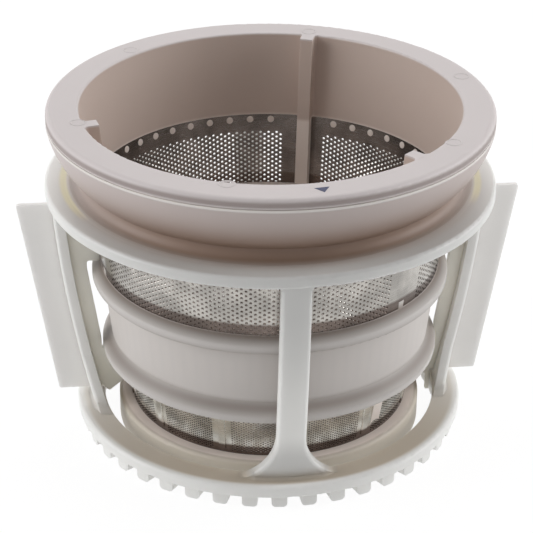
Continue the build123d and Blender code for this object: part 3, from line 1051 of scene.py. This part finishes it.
class JUICER_OT_rim_marks(bpy.types.Operator):
    """Make the printed triangle and the ejector marks on the rim"""

    bl_idname = "juicer.rim_marks"
    bl_label = "Make the rim's marks"

    # Angle in degrees and radius in metres of each mark and of the triangle's corners.
    marks = (
        (-139.4, 0.04695), (-80.2, 0.0453), (161.6, 0.0464),
        (103.3, 0.0483), (54.6, 0.04625), (-18.3, 0.04545),
    )
    triangle = ((4.6, 0.04717), (8.7, 0.0471), (6.65, 0.04955))
    print_rise = 0.00003
    mark_slope = 3
    sides = 28

    def execute(self, context):
        moulding = context.scene.juicer_moulding
        rim_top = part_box("strainer_frame")[1].z
        bm = bmesh.new()
        for degrees, radius in self.marks:
            self.mark(bm, round_point(math.radians(degrees), radius, rim_top), moulding)
        add_piece("ejector_marks", bm, "strainer", "strainer_plastic")

        bm = bmesh.new()
        corners = [round_point(math.radians(degrees), radius, rim_top) for degrees, radius in self.triangle]
        lower = [bm.verts.new(corner - Vector((0, 0, self.print_rise))) for corner in corners]
        upper = [bm.verts.new(corner + Vector((0, 0, self.print_rise))) for corner in corners]
        bm.faces.new(upper)
        bm.faces.new(list(reversed(lower)))
        bridge(bm, lower, upper)
        add_piece("rim_triangle", bm, "strainer", "strainer_plastic", finish("marker_ink"))
        return {"FINISHED"}

    def mark(self, bm, centre, moulding):
        """A thin raised circle, left by an ejector pin."""
        radius = moulding.mark / 2
        rise = moulding.mark_rise
        width = rise * self.mark_slope
        add_ring(bm, ((radius - width, -rise), (radius, rise), (radius + width, -rise)), self.sides, centre)


class JUICER_OT_stage(bpy.types.Operator):
    """Make the floor, the lamps and the white surroundings"""

    bl_idname = "juicer.stage"
    bl_label = "Make the stage"

    # Name, place, size and power of each soft lamp.
    lamps = (
        ("left", (-1.0, -0.05, 0.45), 0.7, 6.2),
        ("right", (1.0, 0.0, 0.45), 0.7, 6.6),
        ("top", (0.0, 0.55, 1.3), 0.9, 6.2),
    )
    aim_height = 0.04
    ambient = 0.2
    floor_size = 6.0
    floor_roughness = 0.9
    # The floor's own white, and its share in the floor's light and where the floor is seen.
    floor_white = 1.06
    floor_glow = 0.3
    floor_seen = 0.88

    def execute(self, context):
        scene = context.scene
        scene.view_settings.view_transform = "Standard"
        self.floor(scene)
        self.world(scene)
        for name, place, size, power in self.lamps:
            data = bpy.data.lights.new(name, "AREA")
            data.size = size
            data.energy = power
            lamp = bpy.data.objects.new(name, data)
            lamp.location = place
            aim = Vector((0, 0, self.aim_height)) - lamp.location
            lamp.rotation_euler = aim.to_track_quat("-Z", "Y").to_euler()
            scene.collection.objects.link(lamp)
        return {"FINISHED"}

    def floor(self, scene):
        """A wide pale floor that looks white to the camera and keeps a soft shadow."""
        bm = bmesh.new()
        bmesh.ops.create_grid(bm, x_segments=1, y_segments=1, size=self.floor_size / 2)
        floor = object_from("floor", bm)
        material = bpy.data.materials.new("studio_floor")
        material.use_nodes = True
        tree = material.node_tree
        build = NodeBuilder(tree)
        shader = tree.nodes["Principled BSDF"]
        shader.inputs["Base Color"].default_value = (*scene.juicer_finish.floor, 1)
        shader.inputs["Roughness"].default_value = self.floor_roughness
        glow = build.out("ShaderNodeEmission", {"Color": (1, 1, 1, 1), "Strength": self.floor_white})
        share = ranged(build, white_share(build), self.floor_glow, self.floor_seen)
        mix = build.out("ShaderNodeMixShader", {0: share, 1: shader.outputs[0], 2: glow})
        tree.links.new(mix, tree.nodes["Material Output"].inputs[0])
        floor.data.materials.append(material)

    def world(self, scene):
        """Even light all round, white to the camera."""
        world = bpy.data.worlds.new("studio")
        world.use_nodes = True
        scene.world = world
        tree = world.node_tree
        build = NodeBuilder(tree)
        strength = ranged(build, white_share(build), self.ambient, 1.0)
        background = tree.nodes["Background"]
        background.inputs["Color"].default_value = (1, 1, 1, 1)
        tree.links.new(strength, background.inputs["Strength"])


class JUICER_PT_panel(bpy.types.Panel):
    """Lists the steps and their settings"""

    bl_idname = "JUICER_PT_panel"
    bl_label = "Juicer mesh screen"
    bl_space_type = "VIEW_3D"
    bl_region_type = "UI"
    bl_category = "Juicer"

    def draw(self, context):
        for operator in OPERATORS:
            self.layout.operator(operator.bl_idname)
        for settings in settings_of(context):
            box = self.layout.box()
            box.label(text=settings.__doc__)
            fill_settings(box, settings)


OPERATORS = (
    JUICER_OT_camera,
    JUICER_OT_stage,
    JUICER_OT_mouldings,
    JUICER_OT_upper_screen,
    JUICER_OT_lower_screen,
    JUICER_OT_post_fillets,
    JUICER_OT_collar_fillet,
    JUICER_OT_anchor_dots,
    JUICER_OT_rim_marks,
)
GROUPS = {
    "juicer_upper": UpperScreenSettings,
    "juicer_lower": LowerScreenSettings,
    "juicer_moulding": MouldingSettings,
    "juicer_finish": FinishSettings,
}


def register():
    for group in GROUPS.values():
        bpy.utils.register_class(group)
    for name, group in GROUPS.items():
        setattr(bpy.types.Scene, name, PointerProperty(type=group))
    for operator in OPERATORS:
        bpy.utils.register_class(operator)
    bpy.utils.register_class(JUICER_PT_panel)


def unregister():
    bpy.utils.unregister_class(JUICER_PT_panel)
    for operator in reversed(OPERATORS):
        bpy.utils.unregister_class(operator)
    for name in GROUPS:
        delattr(bpy.types.Scene, name)
    for group in reversed(tuple(GROUPS.values())):
        bpy.utils.unregister_class(group)


def main():
    register()
    bpy.ops.juicer.camera()
    bpy.ops.juicer.stage()
    bpy.ops.juicer.mouldings()
    bpy.ops.juicer.upper_screen()
    bpy.ops.juicer.lower_screen()
    bpy.ops.juicer.post_fillets()
    bpy.ops.juicer.collar_fillet()
    bpy.ops.juicer.anchor_dots()
    bpy.ops.juicer.rim_marks()


if __name__ == "__main__":
    main()
